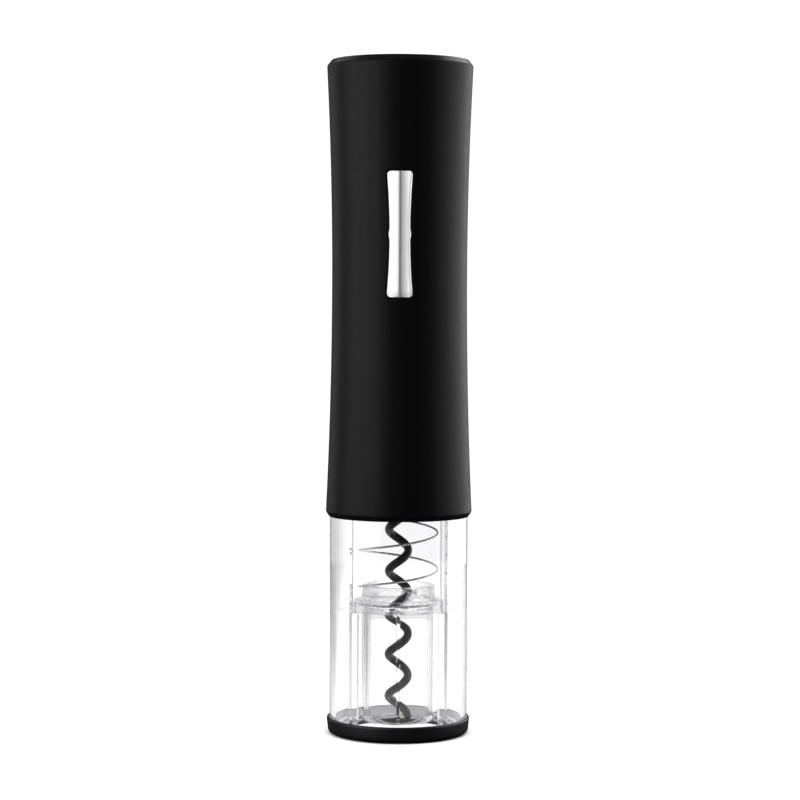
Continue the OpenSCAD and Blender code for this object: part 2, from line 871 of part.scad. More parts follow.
module contact(index, z, direction) {
    site = cell_sites[index];
    sprung = site[2] * direction > 0;
    translate([site[0] * cell_pitch, cells_y + site[1] * cell_pitch, z])
        mirror([0, 0, direction < 0 ? 1 : 0]) {
        if (sprung) translate([0, 0, contact_t]) contact_spring(2.35);
        else translate([0, 0, contact_t]) cylinder(r = 2.2, h = 2.3);
    }
}

module holder_contacts() {
    z = holder_z + holder_floor + eps;
    color(steel) {
        for (i = [0 : 3]) contact(i, z, 1);
        // strap that joins the two rear cells
        translate([0, cells_y + cell_pitch, z]) {
            for (side = [-1, 1]) translate([side * cell_pitch, 0, 0]) cylinder(r = 5.2, h = contact_t);
            translate([-5, -1.5, 0]) cube([10, 3, contact_t]);
        }
        // two end contacts, each with a tab through the floor
        for (side = [-1, 1]) {
            translate([side * cell_pitch, cells_y - cell_pitch, z]) cylinder(r = 5.2, h = contact_t);
            translate([side * 11 - 1.2, -7.9, z - 4.5]) cube([2.4, 0.5, 4.5 + contact_t]);
        }
    }
}

module battery_cover() {
    skirt_r = 23.35;
    skirt_z = 233.6;
    color(black) difference() {
        rotate_extrude() polygon(concat(
            [[0, seam_z + 0.05], [22, seam_z + 0.05], [22, skirt_z], [skirt_r - 0.3, skirt_z]],
            [[skirt_r, skirt_z + 0.6], [skirt_r + 0.12, skirt_z + 1.4], [skirt_r, skirt_z + 2.2]],
            [[skirt_r, seam_z + 0.05], [top_r - 0.2, seam_z + 0.05], [top_r - 0.2, seam_z + 0.3]],
            arc([top_r - cover_bevel - cover_round, total_h - cover_round], cover_round, 35, 90, 3),
            [[0, total_h]]
        ));
        for (side = [-1, 1]) rotate([0, 0, 90 + 90 * side])
            translate([18, -4, skirt_z - cut]) cube([8, 8, cut + 1.4]);
    }
}

module cover_contacts() {
    z = seam_z - eps;
    color(steel) {
        for (i = [0 : 3]) contact(i, z, -1);
        for (side = [-1, 1]) translate([side * cell_pitch, cells_y, z - contact_t]) {
            for (end = [-1, 1]) translate([0, end * cell_pitch, 0]) cylinder(r = 5.2, h = contact_t);
            translate([-1.5, -5, 0]) cube([3, 10, contact_t]);
        }
    }
}

// ---------------------------------------------------------------- rocker, board, wires

module button_rocker() {
    color(satin_silver) union() {
        intersection() {
            rocker_prism(0, -waist_r - 6, rocker_back_y);
            rocker_facet(-1);
            rocker_facet(1);
        }
        for (s = [-1, 1]) translate([0, -21, rocker_z + s * switch_span]) rotate([90, 0, 0])
            cylinder(r = 1.3, h = -rocker_back_y - 21 + 0.3);
        translate([-3, rocker_back_y - 0.3, rocker_z - 2]) cube([6, 4, 4]);
        translate([-5.4, pivot_y, rocker_z]) rotate([0, 90, 0]) cylinder(r = pivot_r, h = 10.8);
    }
}

module button_frame() {
    color(black) difference() {
        union() {
            difference() {
                translate([0, 0, rocker_z - 25.5]) ring(21.7, 20.6, 51);
                translate([-30, -10, 100]) cube([60, 60, 150]);
                for (side = [-1, 1]) translate([side * (window_half + 14.8) - 15, -30, 100])
                    cube([30, 40, 150]);
                rocker_prism(0.7, -30, -15);
            }
            for (side = [-1, 1]) {
                translate([side > 0 ? ear_in : -ear_out, pivot_y - 1.5, rocker_z - 3])
                    cube([ear_out - ear_in, 3, 6]);
                for (z = [post_low, post_high])
                    translate([side * post_x, board_front_y - 0.05, z]) rotate([90, 0, 0])
                        cylinder(r = 1.5, h = 3.9);
            }
        }
        translate([-10, pivot_y, rocker_z]) rotate([0, 90, 0]) cylinder(r = pivot_bore_r, h = 20);
        for (side = [-1, 1]) translate([side * post_x, -10, post_low]) rotate([90, 0, 0])
            cylinder(r = 0.83, h = 9.8);
    }
}

module circuit_board() {
    color("darkgreen") difference() {
        union() {
            translate([-board_half, board_front_y, board_z]) cube([2 * board_half, board_t, board_h]);
            // power transistor and a capacitor on the back
            translate([-2, board_front_y + board_t - 0.1, 173]) cube([4, 1.6, 5]);
        }
        for (side = [-1, 1]) translate([side * post_x, -10, post_low]) rotate([90, 0, 0])
            cylinder(r = 1, h = 10);
    }
}

module board_screws() {
    color(steel) for (side = [-1, 1])
        translate([side * post_x, board_front_y + board_t + eps, post_low]) rotate([90, 0, 0])
            screw(0.8, 4, 1.5, 1.1);
}

module tact_switch(z) {
    color(graphite) translate([0, board_front_y - 0.03, z]) rotate([90, 0, 0]) {
        translate([-3, -3, 0]) cube([6, 6, 2.9]);
        cylinder(r = 1.6, h = board_front_y - 0.03 - switch_y);
    }
}

module switch_lower() {
    tact_switch(rocker_z - switch_span);
}

module switch_upper() {
    tact_switch(rocker_z + switch_span);
}

// Each pole runs from a cell tab to the board, and from the board to the motor
module pole_wires(side) {
    back = board_front_y + board_t + 0.75;
    wire([
        [side * 11, -6.6, 179.5],
        [side * 11, -6.4, 176],
        [side * 10, -8, 172],
        [side * 6, -12, 167],
        [side * 4, back, 166],
        [side * 4, back, 164]
    ]);
    wire([
        [side * 9, 1.1, 166],
        [side * 9, 1.6, 169],
        [side * 7, -2, 171],
        [side * 4, -8, 169],
        [side * 1.8, -13, 164],
        [side * 1.8, back, 162]
    ]);
}

module wire_red() {
    color("red") pole_wires(-1);
}

module wire_black() {
    color(graphite) pole_wires(1);
}

// ---------------------------------------------------------------- planets

module output_planet_1() {
    planet(0, output_planet_z);
}

module output_planet_2() {
    planet(120, output_planet_z);
}

module output_planet_3() {
    planet(240, output_planet_z);
}

module first_planet_1() {
    planet(0, first_planet_z);
}

module first_planet_2() {
    planet(120, first_planet_z);
}

module first_planet_3() {
    planet(240, first_planet_z);
}

clear_shell();
base_ring();
spring_retainer();
guide_spring();
cork_guide();
body_shell();
nose_plate();
nose_screws();
gearbox_front_plate();
output_bush();
ring_gear();
gearbox_motor_plate();
motor_screws();
frame_left();
frame_right();
frame_screws();
motor_can();
motor_magnets();
motor_front_bush();
motor_rear_bush();
motor_end_cap();
motor_brushes();
motor_terminals();
battery_holder();
holder_screws();
holder_contacts();
battery_1();
battery_2();
battery_3();
battery_4();
circuit_board();
board_screws();
switch_lower();
switch_upper();
button_frame();
wire_red();
wire_black();
battery_cover();
cover_contacts();
button_rocker();
worm();
worm_hub();
hub_pin();
output_carrier();
output_carrier_pins();
first_carrier();
first_carrier_pins();
output_planet_1();
output_planet_2();
output_planet_3();
first_planet_1();
first_planet_2();
first_planet_3();
motor_shaft();
rotor_core();
rotor_windings();
commutator();
motor_pinion();
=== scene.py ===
"""Looks of the electric wine opener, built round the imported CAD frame."""

import json
import math

import bmesh
import bpy
from mathutils import Matrix, Vector


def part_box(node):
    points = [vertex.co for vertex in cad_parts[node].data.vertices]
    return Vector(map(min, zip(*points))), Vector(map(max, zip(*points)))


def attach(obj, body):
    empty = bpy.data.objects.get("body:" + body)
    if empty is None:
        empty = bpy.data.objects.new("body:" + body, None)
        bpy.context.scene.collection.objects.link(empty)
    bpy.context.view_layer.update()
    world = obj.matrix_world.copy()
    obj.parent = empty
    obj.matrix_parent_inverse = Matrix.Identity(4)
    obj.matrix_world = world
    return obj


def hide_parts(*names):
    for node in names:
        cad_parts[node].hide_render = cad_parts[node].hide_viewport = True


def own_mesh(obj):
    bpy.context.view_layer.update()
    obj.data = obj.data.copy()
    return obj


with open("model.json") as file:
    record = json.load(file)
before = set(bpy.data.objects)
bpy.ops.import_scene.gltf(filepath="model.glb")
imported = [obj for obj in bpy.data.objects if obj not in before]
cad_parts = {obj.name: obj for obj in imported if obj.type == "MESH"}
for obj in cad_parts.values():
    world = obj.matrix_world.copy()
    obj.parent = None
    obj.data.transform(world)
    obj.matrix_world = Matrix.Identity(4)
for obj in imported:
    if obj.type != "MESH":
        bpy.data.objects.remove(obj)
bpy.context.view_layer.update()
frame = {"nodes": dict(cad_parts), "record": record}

MM = 0.001
TURN = 2 * math.pi
FRONT = -math.pi / 2          # the rocker's side, -Y


# ---------------------------------------------------------------- camera and light

LENS_MM = 106.6
SENSOR_MM = 36
CAMERA_DISTANCE = 848 * MM
CAMERA_HEIGHT = 156.8 * MM
CAMERA_TILT = math.radians(2.515)
CAMERA_PAN = math.radians(-0.0205)
CAMERA_ROLL = math.radians(0.22)


def make_camera():
    """Long lens in front of the object, a little above its middle."""
    data = bpy.data.cameras.new("camera")
    data.lens = LENS_MM
    data.sensor_width = SENSOR_MM
    camera = bpy.data.objects.new("camera", data)
    camera.location = (0, -CAMERA_DISTANCE, CAMERA_HEIGHT)
    turn = Matrix.Rotation(CAMERA_PAN, 3, "Z") @ Matrix.Rotation(math.pi / 2 - CAMERA_TILT, 3, "X")
    camera.rotation_euler = (turn @ Matrix.Rotation(CAMERA_ROLL, 3, "Z")).to_euler()
    bpy.context.scene.collection.objects.link(camera)
    bpy.context.scene.camera = camera


make_camera()


def area_light(name, azimuth, elevation, distance, width, height, power, aim_z=0.14):
    """Soft box that looks at the object from a direction given in degrees."""
    data = bpy.data.lights.new(name, "AREA")
    data.shape = "RECTANGLE"
    data.size = width
    data.size_y = height
    data.energy = power
    light = bpy.data.objects.new(name, data)
    az = math.radians(azimuth)
    el = math.radians(elevation)
    aim = Vector((0, 0, aim_z))
    away = Vector((math.sin(az) * math.cos(el), -math.cos(az) * math.cos(el), math.sin(el)))
    light.location = aim + distance * away
    light.rotation_euler = (-away).to_track_quat("-Z", "Y").to_euler()
    light.visible_camera = False
    light.visible_transmission = False
    bpy.context.scene.collection.objects.link(light)
    return light


# name, azimuth, elevation, distance, width, height, power
SIDE_BOXES = (
    ("left_box", -62, 6, 0.9, 1.15, 1.7, 11),
    ("left_back_box", -132, 10, 1.0, 0.6, 1.9, 1.9),
    ("right_box", 122, 8, 0.9, 1.1, 1.8, 11.5),
    ("right_front_box", 77, 8, 0.9, 0.38, 1.8, 2.0),
)


def make_lights():
    """Tall soft boxes at both sides, for the body's upright highlights."""
    for box in SIDE_BOXES:
        area_light(*box)


def light_only(light, *objects):
    """Restricts a light to the given objects."""
    lit = bpy.data.collections.new(light.name + "_reach")
    for item in objects:
        lit.objects.link(item)
    light.light_linking.receiver_collection = lit


def math_node(tree, operation, first, second):
    """Clamped two-input maths on sockets or plain numbers."""
    node = tree.nodes.new("ShaderNodeMath")
    node.operation = operation
    node.use_clamp = True
    for value, socket in zip((first, second), node.inputs):
        if isinstance(value, (int, float)):
            socket.default_value = value
        else:
            tree.links.new(value, socket)
    return node.outputs[0]


def seen_directly(tree, mirrored):
    """1 straight from the eye or through clear plastic, `mirrored` after a reflection inside it, else 0."""
    path = tree.nodes.new("ShaderNodeLightPath")
    straight = math_node(tree, "ADD", path.outputs["Is Camera Ray"], path.outputs["Transmission Depth"])
    straight = math_node(tree, "SUBTRACT", straight, path.outputs["Diffuse Depth"])
    # adding nothing clamps the depth, so once is 1 after any number of reflections
    once = math_node(tree, "ADD", path.outputs["Glossy Depth"], 0.0)
    bounced = math_node(tree, "MULTIPLY", straight, once)
    lost = math_node(tree, "MULTIPLY", bounced, math_node(tree, "SUBTRACT", 1.0, mirrored))
    return math_node(tree, "SUBTRACT", straight, lost)


def map_range(tree, value, source, target):
    """Clamped linear map of a socket from one range to another."""
    node = tree.nodes.new("ShaderNodeMapRange")
    node.inputs["From Min"].default_value, node.inputs["From Max"].default_value = source
    node.inputs["To Min"].default_value, node.inputs["To Max"].default_value = target
    tree.links.new(value, node.inputs["Value"])
    return node.outputs["Result"]


def axes(tree, space="Object"):
    """The X, Y and Z of a point in the piece's own coordinates, or in another space."""
    place = tree.nodes.new("ShaderNodeTexCoord")
    split = tree.nodes.new("ShaderNodeSeparateXYZ")
    tree.links.new(place.outputs[space], split.inputs[0])
    return split.outputs


def left_falloff(tree, sideways, source):
    """The white surroundings dim towards the left for a ray bent by clear plastic."""
    path = tree.nodes.new("ShaderNodeLightPath")
    falling = map_range(tree, sideways, source, (0.6, 1))
    return math_node(tree, "MAXIMUM", falling, path.outputs["Is Camera Ray"])


def make_world():
    """White to the eye and through clear plastic, dim to everything else, as between studio flats."""
    world = bpy.data.worlds.new("studio")
    bpy.context.scene.world = world
    world.use_nodes = True
    tree = world.node_tree
    tree.nodes.clear()
    output = tree.nodes.new("ShaderNodeOutputWorld")
    mix = tree.nodes.new("ShaderNodeMixShader")
    dim = tree.nodes.new("ShaderNodeBackground")
    bright = tree.nodes.new("ShaderNodeBackground")
    dim.inputs["Color"].default_value = (1, 1, 1, 1)
    dim.inputs["Strength"].default_value = 0.06
    bright.inputs["Color"].default_value = (1.09, 1.09, 1.11, 1)
    direction = axes(tree, "Generated")
    behind = map_range(tree, direction["Y"], (-0.35, 0.05), (0, 1))
    tree.links.new(seen_directly(tree, behind), mix.inputs[0])
    tree.links.new(left_falloff(tree, direction["X"], (-0.34, -0.14)), bright.inputs["Strength"])
    tree.links.new(dim.outputs[0], mix.inputs[1])
    tree.links.new(bright.outputs[0], mix.inputs[2])
    tree.links.new(mix.outputs[0], output.inputs["Surface"])
    bpy.context.scene.view_settings.view_transform = "Standard"


make_lights()
make_world()


# ---------------------------------------------------------------- materials

def new_material(name, color, roughness, metallic=0.0, **sockets):
    """Principled material; the caller adds the nodes that vary it."""
    material = bpy.data.materials.new(name)
    material.use_nodes = True
    shader = material.node_tree.nodes["Principled BSDF"]
    shader.inputs["Base Color"].default_value = (*color, 1)
    shader.inputs["Roughness"].default_value = roughness
    shader.inputs["Metallic"].default_value = metallic
    for socket, value in sockets.items():
        shader.inputs[socket.replace("_", " ")].default_value = value
    return material


def noise(material, scale, detail=3.0, stretch=(1, 1, 1)):
    """Noise in the object's own coordinates, scale in features for each metre."""
    tree = material.node_tree
    place = tree.nodes.new("ShaderNodeTexCoord")
    mapping = tree.nodes.new("ShaderNodeMapping")
    mapping.inputs["Scale"].default_value = stretch
    texture = tree.nodes.new("ShaderNodeTexNoise")
    texture.inputs["Scale"].default_value = scale
    texture.inputs["Detail"].default_value = detail
    tree.links.new(place.outputs["Object"], mapping.inputs["Vector"])
    tree.links.new(mapping.outputs["Vector"], texture.inputs["Vector"])
    return texture.outputs["Fac"]


def vary_roughness(material, source, low, high):
    """Roughness from low to high over the middle of a noise."""
    tree = material.node_tree
    rough = map_range(tree, source, (0.3, 0.7), (low, high))
    tree.links.new(rough, tree.nodes["Principled BSDF"].inputs["Roughness"])


def vary_color(material, source, dark, light):
    """Colour from dark to light over the middle of a noise."""
    tree = material.node_tree
    ramp = tree.nodes.new("ShaderNodeValToRGB")
    ramp.color_ramp.elements[0].position = 0.32
    ramp.color_ramp.elements[0].color = (*dark, 1)
    ramp.color_ramp.elements[1].position = 0.68
    ramp.color_ramp.elements[1].color = (*light, 1)
    tree.links.new(source, ramp.inputs["Fac"])
    tree.links.new(ramp.outputs["Color"], tree.nodes["Principled BSDF"].inputs["Base Color"])


def add_bump(material, source, strength, depth):
    """Fine relief of a given depth in metres."""
    tree = material.node_tree
    bump = tree.nodes.new("ShaderNodeBump")
    bump.inputs["Strength"].default_value = strength
    bump.inputs["Distance"].default_value = depth
    tree.links.new(source, bump.inputs["Height"])
    tree.links.new(bump.outputs["Normal"], tree.nodes["Principled BSDF"].inputs["Normal"])


def tinted(color, factor):
    """Lighter or darker colour, at most white."""
    return tuple(min(1.0, c * factor) for c in color)


def plastic(name, color, roughness, grain=2600, bump=0.05):
    """Opaque moulding: slight colour drift, uneven gloss and a fine moulded grain."""
    material = new_material(name, color, roughness)
    vary_color(material, noise(material, 60), tinted(color, 0.88), tinted(color, 1.12))
    vary_roughness(material, noise(material, 240, 5), roughness * 0.88, roughness * 1.12)
    add_bump(material, noise(material, grain, 4), bump, 0.02 * MM)
    return material


def metal(name, color, roughness, stretch=(1, 1, 1)):
    """Drawn, turned or plated metal with fine marks along one direction."""
    material = new_material(name, color, roughness, metallic=1.0)
    vary_color(material, noise(material, 90), tinted(color, 0.9), tinted(color, 1.08))
    vary_roughness(material, noise(material, 900, 5, stretch), roughness * 0.75, roughness * 1.3)
    add_bump(material, noise(material, 1800, 4, stretch), 0.08, 0.01 * MM)
    return material


def soft_touch():
    """Rubberised black paint: broad dim highlights and a very fine tooth."""
    material = new_material("soft_touch_black", (0.004, 0.004, 0.0043), 0.42, Specular_IOR_Level=0.17)
    vary_color(material, noise(material, 35, 4), (0.0034, 0.0034, 0.0037), (0.0046, 0.0046, 0.005))
    vary_roughness(material, noise(material, 420, 5), 0.4, 0.46)
    add_bump(material, noise(material, 5200, 3), 0.1, 0.012 * MM)
    return material


def satin_paint():
    """Metallic silver paint with fine flake."""
    material = new_material("satin_silver", (0.92, 0.92, 0.93), 0.44, metallic=1.0)
    vary_color(material, noise(material, 14000, 2), (0.89, 0.89, 0.9), (0.95, 0.95, 0.955))
    vary_roughness(material, noise(material, 5000, 3), 0.41, 0.47)
    add_bump(material, noise(material, 9000, 2), 0.06, 0.004 * MM)
    return material


def thin_web(tree, disc_radii, disc_heights, disc_share, collar_heights, collar_share):
    """Share of the light that goes straight through the guide, where its disc and collar are thin."""
    place = tree.nodes.new("ShaderNodeTexCoord")
    flat = tree.nodes.new("ShaderNodeVectorMath")
    flat.operation = "MULTIPLY"
    flat.inputs[1].default_value = (1, 1, 0)
    tree.links.new(place.outputs["Object"], flat.inputs[0])
    reach = tree.nodes.new("ShaderNodeVectorMath")
    reach.operation = "LENGTH"
    tree.links.new(flat.outputs[0], reach.inputs[0])
    height = axes(tree)["Z"]
    across = map_range(tree, reach.outputs["Value"], disc_radii, (0, disc_share))
    disc = math_node(tree, "MULTIPLY", across, map_range(tree, height, disc_heights, (0, 1)))
    collar = map_range(tree, height, collar_heights, (0, collar_share))
    return math_node(tree, "MAXIMUM", disc, collar)


def clear_plastic(name, color, roughness, waviness, web=None):
    """Polished clear styrene with the faint flow waviness of a moulding; web says where it is thin."""
    material = new_material(name, color, roughness, IOR=1.49)
    tree = material.node_tree
    tree.nodes["Principled BSDF"].inputs["Transmission Weight"].default_value = 1.0
    vary_roughness(material, noise(material, 160, 4), roughness * 0.6, roughness * 1.6)
    add_bump(material, noise(material, 55, 2, (1, 1, 0.3)), waviness, 0.05 * MM)
    path = tree.nodes.new("ShaderNodeLightPath")
    passing = tree.nodes.new("ShaderNodeBsdfTransparent")
    passing.inputs["Color"].default_value = (0.93, 0.93, 0.94, 1)
    seen = tree.nodes["Principled BSDF"].outputs[0]
    if web:
        thin = tree.nodes.new("ShaderNodeMixShader")
        straight = tree.nodes.new("ShaderNodeBsdfTransparent")
        tree.links.new(thin_web(tree, **web), thin.inputs[0])
        tree.links.new(seen, thin.inputs[1])
        tree.links.new(straight.outputs[0], thin.inputs[2])
        seen = thin.outputs[0]
    mix = tree.nodes.new("ShaderNodeMixShader")
    tree.links.new(path.outputs["Is Shadow Ray"], mix.inputs[0])
    tree.links.new(seen, mix.inputs[1])
    tree.links.new(passing.outputs[0], mix.inputs[2])
    tree.links.new(mix.outputs[0], tree.nodes["Material Output"].inputs["Surface"])
    return material


def coated_wire():
    """Black low-friction coating on the worm: satin, with faint uneven tone and gloss."""
    finish = {"Specular_IOR_Level": 0.3, "Coat_Weight": 0.2, "Coat_Roughness": 0.22}
    material = new_material("coated_worm", (0.009, 0.009, 0.01), 0.3, **finish)
    vary_color(material, noise(material, 300, 4), (0.007, 0.007, 0.008), (0.013, 0.013, 0.014))
    vary_roughness(material, noise(material, 700, 4), 0.26, 0.4)
    add_bump(material, noise(material, 1600, 4), 0.12, 0.02 * MM)
    return material


def cell_jacket():
    """Plain two-colour cell jacket: dark body, copper-coloured upper band."""
    material = new_material("cell_jacket", (0.03, 0.03, 0.035), 0.3, metallic=0.6)
    tree = material.node_tree
    ramp = tree.nodes.new("ShaderNodeValToRGB")
    low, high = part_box("battery_1")
    band = map_range(tree, axes(tree)["Z"], (low.z, high.z), (0, 1))
    ramp.color_ramp.interpolation = "CONSTANT"
    ramp.color_ramp.elements[0].color = (0.025, 0.025, 0.03, 1)
    ramp.color_ramp.elements[1].position = 0.68
    ramp.color_ramp.elements[1].color = (0.55, 0.26, 0.1, 1)
    tree.links.new(band, ramp.inputs["Fac"])
    tree.links.new(ramp.outputs["Color"], tree.nodes["Principled BSDF"].inputs["Base Color"])
    vary_roughness(material, noise(material, 300), 0.25, 0.38)
    return material


# Where the guide is thin; each share rises from 0 over its range of radii or heights
GUIDE_WEB = {
    "disc_radii": (15.4 * MM, 15.8 * MM),
    "disc_heights": (44 * MM, 44.5 * MM),
    "disc_share": 0.6,
    "collar_heights": (46.2 * MM, 46.5 * MM),
    "collar_share": 0.4,
}
MATERIALS = {
    "soft_black": soft_touch(),
    "cover_black": plastic("cover_black", (0.008, 0.008, 0.0085), 0.3),
    "black_plastic": plastic("black_plastic", (0.008, 0.008, 0.0085), 0.42),
    "graphite_plastic": plastic("graphite_plastic", (0.05, 0.05, 0.055), 0.5),
    "clear_plastic": clear_plastic("clear_plastic", (0.994, 0.993, 1), 0.02, 0.15),
    "guide_plastic": clear_plastic("guide_plastic", (0.985, 0.985, 0.99), 0.04, 0.2, GUIDE_WEB),
    "satin_silver": satin_paint(),
    "coated_worm": coated_wire(),
    "spring_steel": metal("spring_steel", (0.62, 0.62, 0.63), 0.26),
    "plain_steel": metal("plain_steel", (0.52, 0.53, 0.55), 0.32),
    "fastener_steel": metal("fastener_steel", (0.4, 0.41, 0.43), 0.36),
    "bronze": metal("bronze", (0.6, 0.38, 0.17), 0.35),
    "copper": metal("copper", (0.62, 0.26, 0.1), 0.3, stretch=(1, 1, 8)),
    "ferrite": plastic("ferrite", (0.035, 0.035, 0.04), 0.55, grain=3000, bump=0.2),
    "nylon": plastic("nylon", (0.72, 0.71, 0.66), 0.4),
    "cell_jacket": cell_jacket(),
    "board_green": plastic("board_green", (0.01, 0.09, 0.03), 0.28),
    "red_wire": plastic("red_wire", (0.4, 0.012, 0.012), 0.4),
    "black_wire": plastic("black_wire", (0.01, 0.01, 0.01), 0.4),
}


def dress_cad_nodes():
    """Every CAD node takes the material of its record slot."""
    for part in frame["record"]["subparts"]:
        node = frame["nodes"][part["node"]]
        node.data.materials.clear()
        node.data.materials.append(MATERIALS[part["material_slot"]])


dress_cad_nodes()


# ---------------------------------------------------------------- mesh tools

WELD = 0.0008 * MM            # corner points nearer than this are one
SLIVER = 0.0005 * MM          # edges shorter than this go
ROUND_STEPS = 256             # sides of a turned piece
RIB_NUDGE = 0.0012            # radians between a rib's edge and the next point outside it
ON_FACE = 0.01 * MM           # how near a radius counts as on a face


class Skin:
    """Collects faces by their corner points and welds them into one closed mesh."""

    def __init__(self):
        self.points = []
        self.faces = []

    def strip(self, first, second, closed=True):
        """Quads between two loops of the same length."""
        count = len(first)
        base = len(self.points)
        self.points += list(first) + list(second)
        for i in range(count if closed else count - 1):
            j = (i + 1) % count
            self.faces.append((base + i, base + j, base + count + j, base + count + i))

    def loft(self, loops, closed=True, wrap=False):
        """Strips between each loop and the next, and back to the first when wrap is set."""
        pairs = list(zip(loops, loops[1:]))
        if wrap:
            pairs.append((loops[-1], loops[0]))
        for first, second in pairs:
            self.strip(first, second, closed)

    def build(self, name, body, slot, replaced, sharp=32):
        """Welded mesh as a piece that rides on a body and stands in for the replaced nodes."""
        mesh = bpy.data.meshes.new(name)
        mesh.from_pydata([tuple(p) for p in self.points], [], self.faces)
        work = bmesh.new()
        work.from_mesh(mesh)
        bmesh.ops.remove_doubles(work, verts=work.verts, dist=WELD)
        bmesh.ops.dissolve_degenerate(work, edges=work.edges, dist=SLIVER)
        bmesh.ops.recalc_face_normals(work, faces=work.faces)
        work.to_mesh(mesh)
        work.free()
        mesh.shade_smooth()
        mesh.set_sharp_from_angle(angle=math.radians(sharp))
        mesh.materials.append(MATERIALS[slot])
        piece = bpy.data.objects.new(name, mesh)
        bpy.context.scene.collection.objects.link(piece)
        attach(piece, body)
        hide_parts(*replaced)
        return piece


def ring(radius, z, angles, shape=None):
    """Loop of points at a radius and height; shape may change the radius with the angle."""
    points = []
    for a in angles:
        r = shape(radius, z, a) if shape else radius
        points.append((r * math.cos(a), r * math.sin(a), z))
    return points


def arc(cx, cy, radius, start, end, steps):
    """Points of an arc, angles in degrees."""
    points = []
    for i in range(steps + 1):
        a = math.radians(start + (end - start) * i / steps)
        points.append((cx + radius * math.cos(a), cy + radius * math.sin(a)))
    return points


def even_angles(count):
    """Angles round a full turn."""
    return [TURN * k / count for k in range(count)]


def with_edges(count, centres, half_widths):
    """Even angles, plus a pair at each rib edge, on it and just outside it."""
    angles = set(even_angles(count))
    for centre in centres:
        for half in half_widths:
            for side in (-1, 1):
                for nudge in (0, RIB_NUDGE):
                    angles.add((centre + side * (half + nudge)) % TURN)
    return sorted(angles)


def turned(name, profile, body, slot, replaced, angles=None, shape=None):
    """Closed (r, z) profile turned about Z, in metres."""
    skin = Skin()
    angles = angles or even_angles(ROUND_STEPS)
    skin.loft([ring(r, z, angles, shape) for r, z in profile], wrap=True)
    return skin.build(name, body, slot, replaced)


def off_axis(angle, centre):
    """Signed angle from a centre, between -pi and pi."""
    return (angle - centre + math.pi) % TURN - math.pi


# ---------------------------------------------------------------- body

body_low, body_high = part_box("body_shell")
SEAM_Z = body_high.z
BODY_Z = body_low.z
WAIST_Z = 163 * MM
WAIST_R = 24.14 * MM
TOP_R = 26.08 * MM
BOTTOM_R = body_high.x
WALL = 1.8 * MM
BODY_BEVEL = 1.7 * MM
BODY_BEVEL_IN = 1.1 * MM
BODY_ROUND = 0.35 * MM
LEDGE_LOW = 88.05 * MM
LEDGE_TOP = 90.05 * MM
LEDGE_BORE = 17.5 * MM

rocker_low, rocker_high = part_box("button_rocker")
ROCKER_Z = (rocker_low.z + rocker_high.z) / 2
ROCKER_HALF = (rocker_high.z - rocker_low.z) / 2
ROCKER_END = 4.5 * MM
ROCKER_WAIST = 0.9 * MM
ROCKER_CORNER = 1.5 * MM
ROCKER_BUMP = 0.35 * MM
ROCKER_BUMP_REACH = 1.3 * MM
ROCKER_GAP = 0.35 * MM
SLOT_LIP = 0.3 * MM
PATCH_COLUMNS = 9
PATCH_ROWS = 40
PATCH_HALF = ROCKER_HALF + 6 * MM
BODY_COLUMNS = 192
BODY_ANGLES = [FRONT + TURN * k / BODY_COLUMNS for k in range(BODY_COLUMNS)]


def body_radius(z):
    """Two shallow bows that meet at the waist."""
    if z > WAIST_Z:
        return WAIST_R + (TOP_R - WAIST_R) * ((z - WAIST_Z) / (SEAM_Z - WAIST_Z)) ** 2
    return WAIST_R + (BOTTOM_R - WAIST_R) * ((WAIST_Z - z) / (WAIST_Z - BODY_Z - BODY_BEVEL)) ** 2


def even_steps(points, count):
    """count + 1 points at equal distances along a polyline."""
    lengths = [0.0]
    for a, b in zip(points, points[1:]):
        lengths.append(lengths[-1] + math.dist(a, b))
    result = []
    k = 0
    for i in range(count + 1):
        goal = lengths[-1] * i / count
        while k < len(points) - 2 and lengths[k + 1] < goal:
            k += 1
        t = (goal - lengths[k]) / max(lengths[k + 1] - lengths[k], 1e-12)
        result.append(tuple(p + (q - p) * t for p, q in zip(points[k], points[k + 1])))
    return result


def rocker_half_width(z, grow):
    """Half the rocker's width at a height above its centre."""
    reach = ROCKER_HALF - ROCKER_CORNER
    bump = ROCKER_BUMP * math.exp(-((z / ROCKER_BUMP_REACH) ** 2))
    return ROCKER_END + grow - ROCKER_WAIST * (1 - min(1, abs(z) / reach) ** 2) + bump


def rocker_loop(grow, across, along):
    """Outline of the rocker as one loop, from its lower left corner: bottom, right, top, left."""
    corner = max(ROCKER_CORNER + grow, 0.3 * MM)
    end = ROCKER_END + grow - corner
    top = ROCKER_HALF + grow - corner
    bottom_side = arc(-end, -top, corner, 225, 270, 6) + arc(end, -top, corner, 270, 315, 6)
    heights = [top * (i / 30 - 1) for i in range(2, 59)]
    right_side = arc(end, -top, corner, 315, 348, 4)
    right_side += [(rocker_half_width(z, grow), z) for z in heights]
    right_side += arc(end, top, corner, 12, 45, 4)
    lower = even_steps(bottom_side, across)
    right = even_steps(right_side, along)
    upper = [(-x, -z) for x, z in lower]
    left = [(-x, -z) for x, z in right]
    return lower[:-1] + right[:-1] + upper[:-1] + left[:-1]


def on_body(x, z, drop=0.0):
    """Point on the body's surface in front of (x, z), or drop deeper."""
    return (x, -math.sqrt((body_radius(z) - drop) ** 2 - x * x), z)


def patch_rows():
    """Heights of the rows of the patch round the slot."""
    low = ROCKER_Z - PATCH_HALF
    return [low + 2 * PATCH_HALF * i / PATCH_ROWS for i in range(PATCH_ROWS + 1)]


def spread(start, end, count):
    """count even steps from start, without the end."""
    return [start + (end - start) * i / count for i in range(count)]


